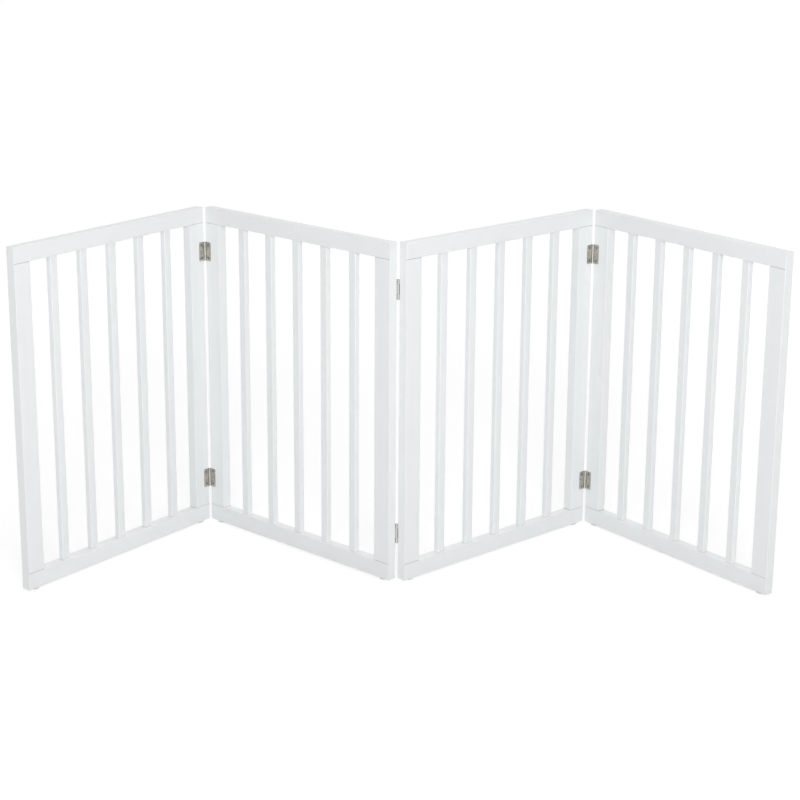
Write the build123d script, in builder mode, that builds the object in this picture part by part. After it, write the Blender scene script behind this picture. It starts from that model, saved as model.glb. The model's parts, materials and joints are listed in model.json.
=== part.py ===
from build123d import *
import os

# A free-standing pet gate of four wooden panels, hinged edge to edge and standing in a zigzag.
# Millimetres. +X runs to the right along the gate, +Y to its back and +Z up. The origin is on
# the floor, under the middle of the gate's outline.

# One panel: two full-width rails, with two stiles and a row of bars between them.
panel_width = 470.0
panel_height = 606.5  # the wood alone, without the feet
panel_thickness = 18.0
top_rail_height = 29.0
bottom_rail_height = 30.0
stile_width = 36.0
frame_edge_radius = 1.2
joint_easing = 0.5  # the hairline groove where a stile's shoulder meets a rail

bar_count = 5
bar_width = 16.0
bar_thickness = 10.7
bar_edge_radius = 1.5
bar_end_gap = 49.6  # clear space between a stile and the bar next to it

# Stub tenons on the stiles and bars, in blind mortises in the rails.
tenon_length = 10.0
stile_shoulder = 5.0
bar_shoulder = 2.5
mortise_side_gap = 0.1
mortise_end_gap = 0.5

# Feet: round glides with a stem pushed up into the bottom rail.
foot_height = 3.5
foot_radius = 7.5
foot_edge_radius = 2.0
foot_inset = 20.0  # from the panel's end to the foot's centre
foot_stem_radius = 3.0
foot_stem_length = 7.0
foot_stem_side_gap = 0.05
foot_stem_end_gap = 0.5

# Butt hinges, a lower and an upper one at each fold, screwed onto the panels' faces.
hinge_height = 34.5
hinge_rail_gap = 36.5  # from a rail's inner edge to the hinge's nearer end
leaf_reach = 13.7  # from the pin's axis to the leaf's free edge
leaf_thickness = 1.0
leaf_corner_radius = 1.5
pin_radius = 1.0
pin_rise = 1.3  # from the panel's face out to the pin's axis
fold_gap = 2.4  # between two panels that stand in line
knuckle_wall = 1.0
middle_knuckle_height = 17.3
knuckle_end_gap = 0.3
knuckle_side_gap = 0.8
pin_running_gap = 0.05
pin_tight_gap = 0.01
pin_head_radius = 1.7
pin_head_height = 0.8
pin_head_gap = 0.1

# Countersunk screws, two through each leaf.
screw_length = 12.0
screw_shank_radius = 1.5
screw_head_radius = 2.6
screw_tip_length = 3.0
screw_tip_radius = 0.4
screw_end_inset = 5.2  # from the leaf's lower or upper end
screw_edge_inset = 5.0  # from the leaf's free edge
screw_side_gap = 0.05
screw_end_gap = 0.5
countersink_land = 0.15
recess_length = 3.2
recess_width = 0.8
recess_depth = 0.6

# How the gate stands: the first panel's heading, then the turn at each fold, in degrees seen
# from above. The hinges sit inside each fold, so they are on the panels' front faces where the
# turn is clockwise (negative) and on their back faces where it is the other way.
first_panel_heading = 53.75
fold_turns = [-97.3, 86.2, -96.4]
FRONT, BACK = -1, 1
LEFT, RIGHT = -1, 1

# The side whose leaf has the middle knuckle, fold by fold: the lower hinge, then the upper.
middle_knuckle_sides = [(RIGHT, LEFT), (RIGHT, RIGHT), (RIGHT, RIGHT)]

# Sizes that follow from those above.
stile_height = panel_height - bottom_rail_height - top_rail_height
stile_offset = (panel_width - stile_width) / 2
bar_span = panel_width - 2 * stile_width - 2 * bar_end_gap - bar_width
bar_offsets = [bar_span * (k / (bar_count - 1) - 0.5) for k in range(bar_count)]
foot_offset = panel_width / 2 - foot_inset
pin_offset = (panel_width + fold_gap) / 2
pin_depth = panel_thickness / 2 + pin_rise
knuckle_radius = pin_radius + knuckle_wall
outer_knuckle_height = (hinge_height - middle_knuckle_height) / 2 - knuckle_end_gap
hinge_bottoms = [
    bottom_rail_height + hinge_rail_gap,
    panel_height - top_rail_height - hinge_rail_gap - hinge_height,
]
screw_offset = pin_offset - leaf_reach + screw_edge_inset
screw_head_height = leaf_thickness - countersink_land


def panel_plane(origin, heading):
    """A panel's own plane: x along the panel to its right, y to its back, z up."""
    return Plane(origin=origin, x_dir=Vector(1, 0, 0).rotate(Axis.Z, heading), z_dir=(0, 0, 1))


def fold_side(turn):
    """The face of both panels that carries a fold's hinges."""
    return FRONT if turn < 0 else BACK


def standing_panels():
    """The four panels' planes, chained pin to pin and centred on the origin."""
    heading = first_panel_heading
    panels = [panel_plane((0, 0, foot_height), heading)]
    for turn in fold_turns:
        side = fold_side(turn)
        heading += turn
        pin = panels[-1].from_local_coords((pin_offset, side * pin_depth, 0))
        origin = panel_plane(pin, heading).from_local_coords((pin_offset, -side * pin_depth, 0))
        panels.append(panel_plane(origin, heading))

    # The centres of the rounded upright edges give the outline's middle.
    edge_x = panel_width / 2 - frame_edge_radius
    edge_y = panel_thickness / 2 - frame_edge_radius
    corners = [
        panel.from_local_coords((x, y, 0))
        for panel in panels
        for x in (-edge_x, edge_x)
        for y in (-edge_y, edge_y)
    ]
    middle_x = (min(c.X for c in corners) + max(c.X for c in corners)) / 2
    middle_y = (min(c.Y for c in corners) + max(c.Y for c in corners)) / 2
    middle = Vector(middle_x, middle_y, 0)
    return [Plane(origin=p.origin - middle, x_dir=p.x_dir, z_dir=p.z_dir) for p in panels]


def hinged_ends(panel_index):
    """(end, side, fold index) of each hinged end of a panel."""
    ends = []
    if panel_index > 0:
        ends.append((LEFT, fold_side(fold_turns[panel_index - 1]), panel_index - 1))
    if panel_index < len(fold_turns):
        ends.append((RIGHT, fold_side(fold_turns[panel_index]), panel_index))
    return ends


def screw_plane(panel, end, side, height, lift):
    """Plane across a screw's axis, facing out of the panel, lifted off the panel's face."""
    place = (end * screw_offset, side * (panel_thickness / 2 + lift), height)
    return Plane(
        origin=panel.from_local_coords(place), x_dir=panel.x_dir, z_dir=panel.y_dir * side
    )


def screw_heights(hinge_bottom):
    """The heights of the two screws in a leaf."""
    return [hinge_bottom + screw_end_inset, hinge_bottom + hinge_height - screw_end_inset]


def save(piece, name):
    """Label a finished piece and write it as a node of its own."""
    piece.part.label = name
    export_step(piece.part, f"parts/{name}.step")


def mortise_sketch(plane):
    """Mouths of a rail's mortises: two for the stiles and one for each bar."""
    with BuildSketch(plane) as mouths:
        with Locations((-stile_offset, 0), (stile_offset, 0)):
            Rectangle(
                stile_width - 2 * stile_shoulder + 2 * mortise_side_gap,
                panel_thickness - 2 * stile_shoulder + 2 * mortise_side_gap,
            )
        with Locations(*[(x, 0) for x in bar_offsets]):
            Rectangle(
                bar_width - 2 * bar_shoulder + 2 * mortise_side_gap,
                bar_thickness - 2 * bar_shoulder + 2 * mortise_side_gap,
            )
    return mouths.sketch


def make_rail(panel, name, is_top):
    """A full-width rail, rounded outside and mortised on its inner edge."""
    height = top_rail_height if is_top else bottom_rail_height
    bottom = panel_height - height if is_top else 0
    inner = bottom if is_top else height
    inner_end, outer_end = (0, -1) if is_top else (-1, 0)
    mortise_depth = tenon_length + mortise_end_gap
    along = Axis(panel.origin, panel.x_dir)
    with BuildPart() as rail:
        with BuildSketch(panel.offset(bottom)):
            Rectangle(panel_width, panel_thickness)
        extrude(amount=height)
        inner_edges = rail.edges().filter_by(along).group_by(Axis.Z)[inner_end]
        chamfer(inner_edges, joint_easing)
        outer_edges = rail.edges().group_by(Axis.Z)[outer_end]
        fillet(outer_edges + rail.edges().filter_by(Axis.Z), frame_edge_radius)
        extrude(
            mortise_sketch(panel.offset(inner)),
            amount=mortise_depth if is_top else -mortise_depth,
            mode=Mode.SUBTRACT,
        )
        if not is_top:
            with BuildSketch(panel):
                with Locations((-foot_offset, 0), (foot_offset, 0)):
                    Circle(foot_stem_radius + foot_stem_side_gap)
            extrude(amount=foot_stem_length + foot_stem_end_gap, mode=Mode.SUBTRACT)
    save(rail, name)


def make_stile(panel, name, end, hinge_side):
    """A stile with a stub tenon at each end, drilled for the hinge screws that it takes."""
    along = Axis(panel.origin, panel.x_dir)
    with BuildPart() as stile:
        with BuildSketch(panel.offset(bottom_rail_height)):
            with Locations((end * stile_offset, 0)):
                Rectangle(stile_width, panel_thickness)
        extrude(amount=stile_height)
        chamfer(stile.edges().filter_by(along), joint_easing)
        fillet(stile.edges().filter_by(Axis.Z), frame_edge_radius)
        with BuildSketch(panel.offset(bottom_rail_height - tenon_length)):
            with Locations((end * stile_offset, 0)):
                Rectangle(
                    stile_width - 2 * stile_shoulder, panel_thickness - 2 * stile_shoulder
                )
        extrude(amount=stile_height + 2 * tenon_length)
        if hinge_side is not None:
            drill_planes = [
                screw_plane(panel, end, hinge_side, height, 0)
                for bottom in hinge_bottoms
                for height in screw_heights(bottom)
            ]
            with Locations(*drill_planes):
                Hole(
                    screw_shank_radius + screw_side_gap,
                    screw_length - leaf_thickness + screw_end_gap,
                )
    save(stile, name)


def make_bar(panel, name, offset):
    """A thin upright bar in the middle of the panel's thickness, with stub tenons."""
    with BuildPart() as bar:
        with BuildSketch(panel.offset(bottom_rail_height)):
            with Locations((offset, 0)):
                RectangleRounded(bar_width, bar_thickness, bar_edge_radius)
        extrude(amount=stile_height)
        with BuildSketch(panel.offset(bottom_rail_height - tenon_length)):
            with Locations((offset, 0)):
                Rectangle(bar_width - 2 * bar_shoulder, bar_thickness - 2 * bar_shoulder)
        extrude(amount=stile_height + 2 * tenon_length)
    save(bar, name)


def make_feet(panel, name):
    """The panel's two glides, each with its stem."""
    with BuildPart() as feet:
        with BuildSketch(panel.offset(-foot_height)):
            with Locations((-foot_offset, 0), (foot_offset, 0)):
                Circle(foot_radius)
        extrude(amount=foot_height)
        fillet(feet.edges().group_by(Axis.Z)[0], foot_edge_radius)
        with BuildSketch(panel):
            with Locations((-foot_offset, 0), (foot_offset, 0)):
                Circle(foot_stem_radius)
        extrude(amount=foot_stem_length)
    save(feet, name)


def make_leaf(panel, name, end, side, bottom, has_middle_knuckle, bore_radius):
    """A hinge leaf on a panel's face, with its own knuckles around the pin's axis."""
    face_y = side * panel_thickness / 2
    plate_y = face_y + side * leaf_thickness / 2
    pin_at = (end * pin_offset, side * pin_depth)
    plate_start = knuckle_radius + knuckle_side_gap  # clears the other leaf's knuckles
    plate_width = leaf_reach - plate_start
    plate_x = end * (pin_offset - plate_start - plate_width / 2)
    neck_x = end * (pin_offset - plate_start / 2)
    if has_middle_knuckle:
        knuckles = [(outer_knuckle_height + knuckle_end_gap, middle_knuckle_height)]
    else:
        knuckles = [
            (0, outer_knuckle_height),
            (hinge_height - outer_knuckle_height, outer_knuckle_height),
        ]
    across = Axis(panel.origin, panel.y_dir)
    with BuildPart() as leaf:
        with BuildSketch(panel.offset(bottom)):
            with Locations((plate_x, plate_y)):
                Rectangle(plate_width, leaf_thickness)
        extrude(amount=hinge_height)
        middle = Axis(panel.origin, panel.x_dir * end)
        free_corners = leaf.edges().filter_by(across).group_by(middle)[0]
        fillet(free_corners, leaf_corner_radius)
        for start, height in knuckles:
            with BuildSketch(panel.offset(bottom + start)):
                with Locations((neck_x, plate_y)):
                    Rectangle(plate_start, leaf_thickness)
                with Locations(pin_at):
                    Circle(knuckle_radius)
            extrude(amount=height)
        with BuildSketch(panel.offset(bottom)):
            with Locations(pin_at):
                Circle(bore_radius)
        extrude(amount=hinge_height, mode=Mode.SUBTRACT)
        screw_planes = [
            screw_plane(panel, end, side, height, leaf_thickness)
            for height in screw_heights(bottom)
        ]
        with Locations(*screw_planes):
            Cone(
                bottom_radius=screw_shank_radius + screw_side_gap,
                top_radius=screw_head_radius + screw_side_gap,
                height=screw_head_height,
                align=(Align.CENTER, Align.CENTER, Align.MAX),
                mode=Mode.SUBTRACT,
            )
            Hole(screw_shank_radius + screw_side_gap, leaf_thickness)
    save(leaf, name)


def make_pins(panel, name, end, side):
    """A fold's two hinge pins, each headed at both ends."""
    pin_at = (end * pin_offset, side * pin_depth)
    overhang = pin_head_gap + pin_head_height
    with BuildPart() as pins:
        for bottom in hinge_bottoms:
            with BuildSketch(panel.offset(bottom - overhang)):
                with Locations(pin_at):
                    Circle(pin_radius)
            extrude(amount=hinge_height + 2 * overhang)
            for head in (bottom - overhang, bottom + hinge_height + pin_head_gap):
                with BuildSketch(panel.offset(head)):
                    with Locations(pin_at):
                        Circle(pin_head_radius)
                extrude(amount=pin_head_height)
    save(pins, name)


def make_screws(panel, name, ends):
    """All the hinge screws of a panel, flush in their leaves, with cross recesses."""
    head_planes = [
        screw_plane(panel, end, side, height, leaf_thickness)
        for end, side, fold in ends
        for bottom in hinge_bottoms
        for height in screw_heights(bottom)
    ]
    under_head = [plane.offset(-screw_head_height) for plane in head_planes]
    tip_start = screw_length - screw_tip_length
    above_tip = [plane.offset(-tip_start) for plane in head_planes]
    downward = (Align.CENTER, Align.CENTER, Align.MAX)
    with BuildPart() as screws:
        with Locations(*head_planes):
            Cone(screw_shank_radius, screw_head_radius, screw_head_height, align=downward)
        with Locations(*under_head):
            Cylinder(screw_shank_radius, tip_start - screw_head_height, align=downward)
        with Locations(*above_tip):
            Cone(screw_tip_radius, screw_shank_radius, screw_tip_length, align=downward)
        with Locations(*head_planes):
            Box(recess_length, recess_width, recess_depth, align=downward, mode=Mode.SUBTRACT)
            Box(recess_width, recess_length, recess_depth, align=downward, mode=Mode.SUBTRACT)
    save(screws, name)


def make_panel(panel_index, panel):
    """Every piece that one panel carries."""
    label = f"panel_{panel_index + 1}"
    ends = hinged_ends(panel_index)
    hinge_side_at = {end: side for end, side, fold in ends}
    make_rail(panel, f"{label}_top_rail", is_top=True)
    make_rail(panel, f"{label}_bottom_rail", is_top=False)
    make_stile(panel, f"{label}_left_stile", LEFT, hinge_side_at.get(LEFT))
    make_stile(panel, f"{label}_right_stile", RIGHT, hinge_side_at.get(RIGHT))
    for number, offset in enumerate(bar_offsets, start=1):
        make_bar(panel, f"{label}_bar_{number}", offset)
    make_feet(panel, f"{label}_feet")
    make_screws(panel, f"{label}_hinge_screws", ends)

    # The left panel's leaf at a fold turns on the pins, and the right panel's leaf grips them.
    for end, side, fold in ends:
        leaf_side = -end
        gap = pin_running_gap if leaf_side == LEFT else pin_tight_gap
        side_word = "left" if leaf_side == LEFT else "right"
        levels = zip(("lower", "upper"), hinge_bottoms, middle_knuckle_sides[fold])
        for level, bottom, middle_side in levels:
            name = f"fold_{fold + 1}_{level}_{side_word}_leaf"
            make_leaf(panel, name, end, side, bottom, middle_side == leaf_side, pin_radius + gap)
        if leaf_side == RIGHT:
            make_pins(panel, f"fold_{fold + 1}_hinge_pins", end, side)


os.makedirs("parts", exist_ok=True)
for panel_index, panel in enumerate(standing_panels()):
    make_panel(panel_index, panel)
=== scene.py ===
import json
import math

import bpy
from mathutils import Matrix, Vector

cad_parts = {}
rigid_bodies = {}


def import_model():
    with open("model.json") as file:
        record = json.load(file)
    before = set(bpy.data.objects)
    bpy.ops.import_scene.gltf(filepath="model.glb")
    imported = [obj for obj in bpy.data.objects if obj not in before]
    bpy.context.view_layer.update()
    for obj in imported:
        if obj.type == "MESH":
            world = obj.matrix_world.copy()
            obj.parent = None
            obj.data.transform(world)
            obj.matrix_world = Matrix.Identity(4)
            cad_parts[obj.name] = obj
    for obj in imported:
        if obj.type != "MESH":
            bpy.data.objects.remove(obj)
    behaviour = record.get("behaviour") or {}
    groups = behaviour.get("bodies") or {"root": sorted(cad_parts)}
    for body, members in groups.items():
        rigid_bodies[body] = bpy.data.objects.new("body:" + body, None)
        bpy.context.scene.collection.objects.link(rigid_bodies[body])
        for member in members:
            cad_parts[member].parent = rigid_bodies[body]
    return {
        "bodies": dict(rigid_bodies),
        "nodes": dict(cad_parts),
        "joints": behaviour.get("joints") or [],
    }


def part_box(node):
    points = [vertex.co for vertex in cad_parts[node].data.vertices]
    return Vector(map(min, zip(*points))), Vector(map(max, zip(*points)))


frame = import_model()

# A folding pet gate of four white-painted wooden panels on nickel hinges, on a pale floor.
# Lengths and places are in metres, in the frame's own axes.

# Whatever Blender itself starts with, such as its cube, goes.
for thing in list(bpy.data.objects):
    if thing not in frame["nodes"].values() and thing not in frame["bodies"].values():
        bpy.data.objects.remove(thing)
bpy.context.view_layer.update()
scene = bpy.context.scene

# ---------------------------------------------------------------- colours (linear)
WHITE = (1.0, 1.0, 1.0)
PAINT = (0.837, 0.857, 0.858)
PAINT_THIN = (0.801, 0.817, 0.811)      # where the coat is drawn thin over the grain
PAINT_SHADE = (0.10, 0.098, 0.092)       # painted shade inside joints and corners
NICKEL = (0.70, 0.685, 0.65)
NICKEL_CLOUDED = (0.47, 0.455, 0.42)
NICKEL_HIGHLIGHT = (0.82, 0.805, 0.77)     # painted highlight on the knuckles
NICKEL_SHADE = (0.10, 0.093, 0.085)      # painted shade next to the knuckles, in corners and in creases
STEEL = (0.40, 0.385, 0.355)
STEEL_CLOUDED = (0.44, 0.43, 0.41)
STEEL_SHADE = (0.10, 0.10, 0.10)         # painted shade inside the driver recesses
GLIDE = (0.80, 0.82, 0.82)
GLIDE_CLOUDED = (0.72, 0.745, 0.745)
GLIDE_SHADE = (0.34, 0.35, 0.355)        # painted shade where the feet meet what they touch
FLOOR = (0.90, 0.90, 0.90)              # what the floor throws back onto the gate
FLOOR_MOTTLE = (0.885, 0.885, 0.885)
FLOOR_SEEN = (0.35, 0.35, 0.35)         # what is looked at, before it is lifted to white
FLOOR_SEEN_MOTTLE = (0.345, 0.345, 0.345)

# ---------------------------------------------------------------- textures
# How many times a pattern repeats in a metre. Some run one way: along the piece and across it,
# or over X, Y and Z.
GRAIN_ALONG, GRAIN_ACROSS = 3.0, 150.0
PORES_ALONG, PORES_ACROSS = 14.0, 900.0
PAINT_MOTTLE, PAINT_SPRAY, PAINT_NIBS = 11.0, 1500.0, 260.0
JOINT_FILLING = 7.0
NICKEL_CLOUDS, NICKEL_TUMBLING = 170.0, 2600.0
ROLLING_ALONG, ROLLING_ACROSS = 60.0, 900.0
STEEL_CLOUDS, STEEL_TURNING = 420.0, 3800.0
GLIDE_CLOUDS = 260.0
GLIDE_SCUFFS = (700.0, 2600.0, 900.0)
FLOOR_TONES = 3.0

# How deep the fine relief goes.
GRAIN_DEPTH, PAINT_SKIN = 0.00022, 0.00008
METAL_SKIN, ROLLED_SKIN, GLIDE_SKIN = 0.00004, 0.00005, 0.00005

# How far apart the pieces' patterns are taken, so that no two pieces match.
PIECE_SHIFT = 17.0

# ---------------------------------------------------------------- places on the gate
KNUCKLE_RADIUS = 0.0020
STILE_FROM_MIDDLE = 0.199       # from a panel's middle to a stile's inner edge
JOINT_SHADE_FADE = 0.002              # over which the painted shade in a rail's joints rises next to a stile
STILE_JOINT_SHADE = 1.0              # how much painted shade they get: open, so all of it
BAR_JOINT_SHADE = 0.25               # a quarter of it, as they are nearly filled with paint

# The middle fold's hinges are sheltered at the back, in the gap: plain knuckles, and less painted shade.
# Each pair is the knuckles' colour, with any painted highlight, and how much painted shade is next to
# them.
SHELTERED_FOLD = "fold_2"
SHELTERED_PAINTED_LIGHT = (NICKEL, 0.25)
OPEN_PAINTED_LIGHT = (NICKEL_HIGHLIGHT, 0.75)


# ---------------------------------------------------------------- node helpers
class Nodes:
    """The node tree of a material or a world, emptied, with short ways to add nodes to it."""

    def __init__(self, owner):
        owner.use_nodes = True
        self.owner = owner
        self.tree = owner.node_tree
        self.tree.nodes.clear()

    def add(self, kind, inputs=None, **settings):
        node = self.tree.nodes.new("ShaderNode" + kind)
        for key, value in settings.items():
            setattr(node, key, value)
        for key, value in (inputs or {}).items():
            self.put(node.inputs[key], value)
        return node

    def put(self, socket, value):
        """Links an output to the socket, or sets the socket to a number, a vector or a colour."""
        if isinstance(value, bpy.types.NodeSocket):
            self.tree.links.new(value, socket)
        elif socket.type == "RGBA":
            socket.default_value = (*value, 1.0)
        else:
            socket.default_value = value

    def math(self, operation, a, b=0.0):
        return self.add("Math", {0: a, 1: b}, operation=operation).outputs[0]

    def vector(self, operation, a, b=(0.0, 0.0, 0.0)):
        made = self.add("VectorMath", {0: a, 1: b}, operation=operation)
        gives_number = operation in ("LENGTH", "DISTANCE", "DOT_PRODUCT")
        return made.outputs["Value" if gives_number else "Vector"]

    def noise(self, at, scale, detail, rough, distortion=0.0):
        made = self.add("TexNoise", {"Vector": at, "Scale": scale, "Detail": detail,
                                     "Roughness": rough, "Distortion": distortion})
        return made.outputs[0]

    def stretched_noise(self, at, scales, detail, rough, distortion=0.0):
        """Noise that repeats more often one way than another: scales are for X, Y and Z."""
        return self.noise(self.vector("MULTIPLY", at, scales), 1.0, detail, rough, distortion)

    def span(self, value, start, end):
        """The value carried from the range start to the range end, and held where that ends."""
        made = self.add("MapRange", {"Value": value, "From Min": start[0], "From Max": start[1],
                                     "To Min": end[0], "To Max": end[1]})
        return made.outputs[0]

    def mix(self, factor, a, b):
        made = self.add("Mix", data_type="RGBA")
        self.put(made.inputs["Factor"], factor)
        colours = [socket for socket in made.inputs if socket.type == "RGBA"]
        self.put(colours[0], a)
        self.put(colours[1], b)
        return next(socket for socket in made.outputs if socket.type == "RGBA")

    def shade_mask(self, reach, openness):
        """A mask for painted shade: 1 deep in grooves and corners of about that reach, 0 on open
        surfaces.

        It fades from 1 to 0 over that range of openness: the share of directions that are clear.
        """
        occlusion = self.add("AmbientOcclusion", {"Distance": reach}, samples=8)
        return self.span(occlusion.outputs["AO"], openness, (1.0, 0.0))

    def relief(self, *layers):
        """The surface's normal under layers of fine relief, each a (height, strength, depth)."""
        made = None
        for height, strength, depth in layers:
            inputs = {"Height": height, "Strength": strength, "Distance": depth}
            if made:
                inputs["Normal"] = made.outputs[0]
            made = self.add("Bump", inputs)
        return made.outputs[0]

    def place(self):
        """The point on the piece, where it is when the gate is at rest."""
        return self.add("TexCoord").outputs["Object"]

    def pattern_place(self, heading=0.0):
        """That point with the heading turned onto X, shifted by an amount of the piece's own."""
        turn = (0.0, 0.0, -math.radians(heading))
        turned = self.add("Mapping", {"Vector": self.place(), "Rotation": turn}).outputs[0]
        shift = self.math("MULTIPLY", self.add("ObjectInfo").outputs["Random"], PIECE_SHIFT)
        return self.vector("ADD", turned, shift)

    def seen_directly(self):
        """1 for rays that the viewer, a mirror or glass sends, 0 for rays that carry light."""
        path = self.add("LightPath").outputs
        glossy = self.math("MAXIMUM", path["Is Glossy Ray"], path["Is Transmission Ray"])
        return self.math("MAXIMUM", path["Is Camera Ray"], glossy)

    def complete(self, kind, shader):
        """Ends the tree in that shader, and gives the material or world that it belongs to."""
        self.add(kind, {"Surface": shader})
        return self.owner

    def principled(self, inputs):
        return self.complete("OutputMaterial", self.add("BsdfPrincipled", inputs).outputs[0])


# ---------------------------------------------------------------- materials
def satin_paint(name, heading, upright, joints, middle=None):
    """White satin paint on wood, with the grain along the piece showing faintly through it.

    joints says how much painted shade goes into its joints and corners. A rail also has its
    middle given, and its joints get that much only where it meets the stiles.
    """
    nodes = Nodes(bpy.data.materials.new(name))
    at = nodes.pattern_place(heading)

    def lengthwise(along, across, detail, rough, distortion=0.0):
        scales = (across, across, along) if upright else (along, across, across)
        return nodes.stretched_noise(at, scales, detail, rough, distortion)

    grain = lengthwise(GRAIN_ALONG, GRAIN_ACROSS, detail=5.0, rough=0.6, distortion=0.35)
    pores = lengthwise(PORES_ALONG, PORES_ACROSS, detail=2.0, rough=0.5)
    mottle = nodes.noise(at, PAINT_MOTTLE, detail=3.0, rough=0.55)
    spray = nodes.noise(at, PAINT_SPRAY, detail=2.0, rough=0.5)
    nibs = nodes.add("TexVoronoi", {"Vector": at, "Scale": PAINT_NIBS}).outputs["Distance"]
    lines = nodes.span(grain, (0.52, 0.74), (0.0, 1.0))
    colour = nodes.mix(nodes.math("MULTIPLY", lines, 0.22), PAINT, PAINT_THIN)
    colour = nodes.mix(nodes.span(mottle, (0.40, 0.68), (0.0, 0.12)), colour, PAINT_THIN)

    # Painted shade in joints and corners, less where paint has filled a joint.
    filling = nodes.noise(at, JOINT_FILLING, detail=2.0, rough=0.5)
    unfilled = nodes.span(filling, (0.36, 0.54), (0.60, 1.0))
    joint = nodes.math("MULTIPLY", nodes.shade_mask(reach=0.0014, openness=(0.52, 0.90)), unfilled)
    if middle:
        run = (math.cos(math.radians(heading)), math.sin(math.radians(heading)), 0.0)
        offset = nodes.vector("SUBTRACT", nodes.place(), (*middle, 0.0))
        from_middle = nodes.math("ABSOLUTE", nodes.vector("DOT_PRODUCT", offset, run))
        stile_edge = (STILE_FROM_MIDDLE - JOINT_SHADE_FADE, STILE_FROM_MIDDLE)
        joints = nodes.span(from_middle, stile_edge, (BAR_JOINT_SHADE, joints))
    # The painted shade goes into the colour.
    colour = nodes.mix(nodes.math("MULTIPLY", joint, joints), colour, PAINT_SHADE)

    sheen = nodes.span(mottle, (0.30, 0.70), (0.45, 0.55))
    rough = nodes.math("ADD", sheen, nodes.math("MULTIPLY", lines, 0.05))
    specks = nodes.span(nibs, (0.0, 0.10), (1.0, 0.0))
    normal = nodes.relief((spray, 0.22, PAINT_SKIN), (pores, 0.14, PAINT_SKIN),
                          (grain, 0.26, GRAIN_DEPTH), (specks, 0.10, PAINT_SKIN))
    return nodes.principled({"Base Color": colour, "Roughness": rough, "Normal": normal,
                             "Specular IOR Level": 0.30})


def tumbled_nickel(name, pin, knuckles, shade_amount):
    """Satin nickel plate, finely tumbled: smoother, with a painted highlight, on the knuckles, duller
    with painted shade next to them.

    pin is a point on the fold's upright axis, which its two hinges share.
    """
    nodes = Nodes(bpy.data.materials.new(name))
    at = nodes.pattern_place()
    offset = nodes.vector("SUBTRACT", nodes.place(), tuple(pin))
    from_pin = nodes.vector("LENGTH", nodes.vector("MULTIPLY", offset, (1.0, 1.0, 0.0)))
    # A painted highlight on the knuckles, which are also smoother, and painted shade on the leaves next
    # to them.
    knuckle_edge = (KNUCKLE_RADIUS, KNUCKLE_RADIUS + 0.0002)
    shade_edge = (KNUCKLE_RADIUS + 0.0004, KNUCKLE_RADIUS + 0.0020)
    polish_and_highlight = nodes.span(from_pin, knuckle_edge, (1.0, 0.0))
    shade_beside = nodes.span(from_pin, shade_edge, (shade_amount, 0.0))
    clouds = nodes.noise(at, NICKEL_CLOUDS, detail=4.0, rough=0.6)
    tumbling = nodes.noise(at, NICKEL_TUMBLING, detail=3.0, rough=0.6)
    rolling = nodes.stretched_noise(at, (ROLLING_ACROSS, ROLLING_ACROSS, ROLLING_ALONG),
                                    detail=3.0, rough=0.55)

    colour = nodes.mix(nodes.span(clouds, (0.40, 0.62), (0.0, 1.0)), NICKEL, NICKEL_CLOUDED)
    # Painted shade on the leaves next to the knuckles.
    colour = nodes.mix(shade_beside, colour, NICKEL_SHADE)
    # Painted highlight on the knuckles.
    colour = nodes.mix(polish_and_highlight, colour, knuckles)
    # Painted shade in deep corners and in creases.
    corner = nodes.shade_mask(reach=0.012, openness=(0.10, 0.36))
    crease = nodes.shade_mask(reach=0.0016, openness=(0.40, 0.86))
    colour = nodes.mix(nodes.math("MULTIPLY", corner, 0.6), colour, NICKEL_SHADE)
    colour = nodes.mix(nodes.math("MULTIPLY", crease, 0.9), colour, NICKEL_SHADE)

    dull = nodes.math("ADD", nodes.span(clouds, (0.3, 0.7), (0.24, 0.34)),
                      nodes.span(tumbling, (0.4, 0.7), (0.0, 0.06)))
    rough = nodes.math("MULTIPLY", dull, nodes.span(polish_and_highlight, (0.0, 1.0), (1.0, 0.65)))
    normal = nodes.relief((tumbling, 0.22, METAL_SKIN), (rolling, 0.16, ROLLED_SKIN))
    return nodes.principled({"Base Color": colour, "Metallic": 1.0, "Roughness": rough,
                             "Normal": normal})


def turned_steel(name):
    """Plated screw heads, with painted shade inside the cross for the driver."""
    nodes = Nodes(bpy.data.materials.new(name))
    at = nodes.pattern_place()
    clouds = nodes.noise(at, STEEL_CLOUDS, detail=3.0, rough=0.6)
    turning = nodes.noise(at, STEEL_TURNING, detail=2.0, rough=0.5)
    colour = nodes.mix(nodes.span(clouds, (0.35, 0.7), (0.0, 0.35)), STEEL, STEEL_CLOUDED)
    # Painted shade down in the driver's cross and in other tight corners.
    driver_recess_shade = nodes.shade_mask(reach=0.0012, openness=(0.35, 0.85))
    colour = nodes.mix(driver_recess_shade, colour, STEEL_SHADE)
    rough = nodes.span(clouds, (0.3, 0.7), (0.24, 0.36))
    normal = nodes.relief((turning, 0.2, METAL_SKIN))
    return nodes.principled({"Base Color": colour, "Metallic": 1.0, "Roughness": rough,
                             "Normal": normal})


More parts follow.
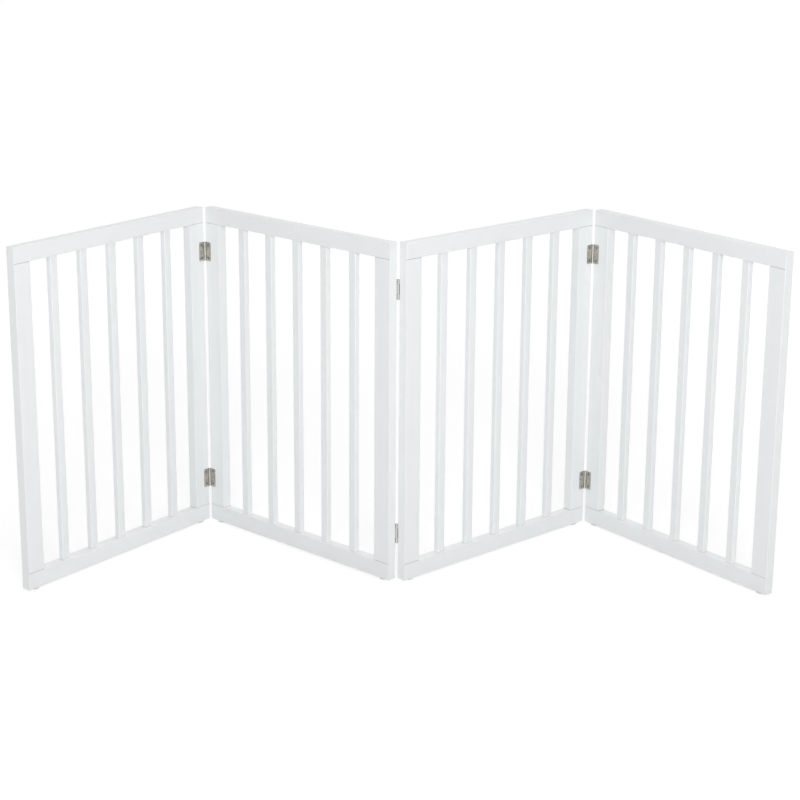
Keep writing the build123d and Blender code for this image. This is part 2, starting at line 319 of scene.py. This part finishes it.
def moulded_glide(name):
    """Pale moulded plastic feet, milky and a little glossy, scuffed where they slide, with painted shade
    where they touch.
    """
    nodes = Nodes(bpy.data.materials.new(name))
    at = nodes.pattern_place()
    clouds = nodes.noise(at, GLIDE_CLOUDS, detail=3.0, rough=0.55)
    scuffs = nodes.stretched_noise(at, GLIDE_SCUFFS, detail=3.0, rough=0.6)
    colour = nodes.mix(nodes.span(clouds, (0.4, 0.7), (0.0, 0.25)), GLIDE, GLIDE_CLOUDED)
    # Painted shade where the feet touch the rails and the floor.
    corner = nodes.shade_mask(reach=0.0035, openness=(0.2, 0.75))
    colour = nodes.mix(nodes.math("MULTIPLY", corner, 0.85), colour, GLIDE_SHADE)
    rough = nodes.span(scuffs, (0.4, 0.7), (0.20, 0.34))
    normal = nodes.relief((scuffs, 0.12, GLIDE_SKIN))
    return nodes.principled({"Base Color": colour, "Roughness": rough, "Normal": normal,
                             "Coat Weight": 0.25})


def middle_of(node):
    """A node's middle at rest, seen from above."""
    low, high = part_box(node)
    return (low[0] + high[0]) / 2, (low[1] + high[1]) / 2


steel = turned_steel("screw_steel")
glide = moulded_glide("glide_plastic")
nickels = {}
for joint in frame["joints"]:
    fold = joint["name"]
    painted_light = SHELTERED_PAINTED_LIGHT if fold == SHELTERED_FOLD else OPEN_PAINTED_LIGHT
    nickels[fold] = tumbled_nickel("nickel_" + fold, joint["pos_m"], *painted_light)
paints = {}
for number in (1, 2, 3, 4):
    left, right = middle_of(f"panel_{number}_left_stile"), middle_of(f"panel_{number}_right_stile")
    heading = math.degrees(math.atan2(right[1] - left[1], right[0] - left[0]))
    middle = middle_of(f"panel_{number}_top_rail")
    paint = f"paint_{number}_"
    paints[number, "rail"] = satin_paint(paint + "rail", heading, False, STILE_JOINT_SHADE, middle)
    paints[number, "stile"] = satin_paint(paint + "stile", heading, True, STILE_JOINT_SHADE)
    paints[number, "bar"] = satin_paint(paint + "bar", heading, True, BAR_JOINT_SHADE)

for name, node in frame["nodes"].items():
    if name.endswith("_leaf") or name.endswith("_pins"):
        material = nickels["_".join(name.split("_")[:2])]
    elif name.endswith("_screws"):
        material = steel
    elif name.endswith("_feet"):
        material = glide
    else:
        kind = next(kind for kind in ("rail", "stile", "bar") if "_" + kind in name)
        material = paints[int(name.split("_")[1]), kind]
    for slot in node.material_slots:
        slot.material = material

# ---------------------------------------------------------------- floor
FLOOR_REACH = 60.0
FLOOR_UNDER_FEET = 0.0001
BRIGHTEST = (0.0, -2.2, 0.0)    # about where the key lights the floor most

# The lift goes through a range of strengths over a range of distances from there.
NEARBY, NEARBY_LIFT = (0.0, 4.5), (0.59, 0.80)
FAR_OUT, FAR_OUT_LIFT = (4.5, 12.0), (0.0, 0.06)        # on top of the first


def pale_floor(name):
    """A matt pale sweep, lifted as the key fades so that it reads just white where nothing shades it."""
    nodes = Nodes(bpy.data.materials.new(name))
    at = nodes.place()
    seen = nodes.seen_directly()
    tones = nodes.noise(at, FLOOR_TONES, detail=3.0, rough=0.5)
    mottle = nodes.span(tones, (0.35, 0.7), (0.0, 1.0))
    thrown_back = nodes.mix(mottle, FLOOR, FLOOR_MOTTLE)
    looked_at = nodes.mix(mottle, FLOOR_SEEN, FLOOR_SEEN_MOTTLE)
    colour = nodes.mix(seen, thrown_back, looked_at)
    matt = nodes.add("BsdfDiffuse", {"Color": colour, "Roughness": 0.6}).outputs[0]
    away = nodes.vector("DISTANCE", at, BRIGHTEST)
    level = nodes.math("ADD", nodes.span(away, NEARBY, NEARBY_LIFT),
                       nodes.span(away, FAR_OUT, FAR_OUT_LIFT))
    strength = nodes.math("MULTIPLY", seen, level)
    lift = nodes.add("Emission", {"Color": WHITE, "Strength": strength}).outputs[0]
    both = nodes.add("AddShader", {0: matt, 1: lift}).outputs[0]
    return nodes.complete("OutputMaterial", both)


mesh = bpy.data.meshes.new("floor")
corners = [(x * FLOOR_REACH, y * FLOOR_REACH, 0.0) for x, y in ((-1, -1), (1, -1), (1, 1), (-1, 1))]
mesh.from_pydata(corners, [], [(0, 1, 2, 3)])
mesh.materials.append(pale_floor("floor"))
floor = bpy.data.objects.new("floor", mesh)
floor.location.z = -FLOOR_UNDER_FEET
scene.collection.objects.link(floor)

# ---------------------------------------------------------------- light
EVEN, BEHIND = 0.29, 1.15       # the fill from all round, and what straight behind adds to it
GATE_MIDDLE = (0.0, 0.0, 0.3)


def studio(name):
    """An even fill, stronger from behind, and white for whatever looks straight at it."""
    nodes = Nodes(bpy.data.worlds.new(name))
    direction = nodes.add("TexCoord").outputs["Generated"]
    depth = nodes.add("SeparateXYZ", {0: direction}).outputs["Y"]
    behind = nodes.math("MAXIMUM", depth, 0.0)
    level = nodes.add("Math", {0: behind, 1: BEHIND, 2: EVEN}, operation="MULTIPLY_ADD").outputs[0]
    fill = nodes.add("Background", {"Color": WHITE, "Strength": level}).outputs[0]
    backdrop = nodes.add("Background", {"Color": WHITE, "Strength": 1.0}).outputs[0]
    both = nodes.add("MixShader", {0: nodes.seen_directly(), 1: fill, 2: backdrop}).outputs[0]
    return nodes.complete("OutputWorld", both)


def softbox(name, location, size, power):
    """An oblong lamp that faces the gate's middle."""
    lamp = bpy.data.lights.new(name, "AREA")
    lamp.shape = "RECTANGLE"
    lamp.size, lamp.size_y = size
    lamp.energy = power
    made = bpy.data.objects.new(name, lamp)
    made.location = location
    towards = [a - b for a, b in zip(GATE_MIDDLE, location)]
    tilt = math.acos(-towards[2] / math.hypot(*towards))
    yaw = math.atan2(-towards[0], towards[1])
    made.rotation_euler = (tilt, 0.0, yaw)
    scene.collection.objects.link(made)


scene.world = studio("studio")
softbox("key", location=(0.3, -4.2, 2.0), size=(2.2, 1.6), power=107.0)
softbox("overhead", location=(0.4, -0.6, 3.4), size=(2.6, 1.8), power=22.0)

# ---------------------------------------------------------------- camera
CAMERA_PLACE = (-0.01873, -3.33062, 1.25585)
YAW, PITCH, ROLL = math.radians(-0.3694), math.radians(16.0794), math.radians(0.3951)
FOCAL_LENGTH, SENSOR_WIDTH = 86.97, 36.0        # millimetres
NEAREST, FARTHEST = 0.05, 200.0

lens = bpy.data.cameras.new("camera")
lens.lens = FOCAL_LENGTH
lens.sensor_width = SENSOR_WIDTH
lens.clip_start, lens.clip_end = NEAREST, FARTHEST
camera = bpy.data.objects.new("camera", lens)
camera.matrix_world = (Matrix.Translation(CAMERA_PLACE)
                       @ Matrix.Rotation(YAW, 4, "Z")
                       @ Matrix.Rotation(math.pi / 2 - PITCH, 4, "X")
                       @ Matrix.Rotation(ROLL, 4, "Z"))
scene.collection.objects.link(camera)
scene.camera = camera

scene.view_settings.view_transform = "Standard"
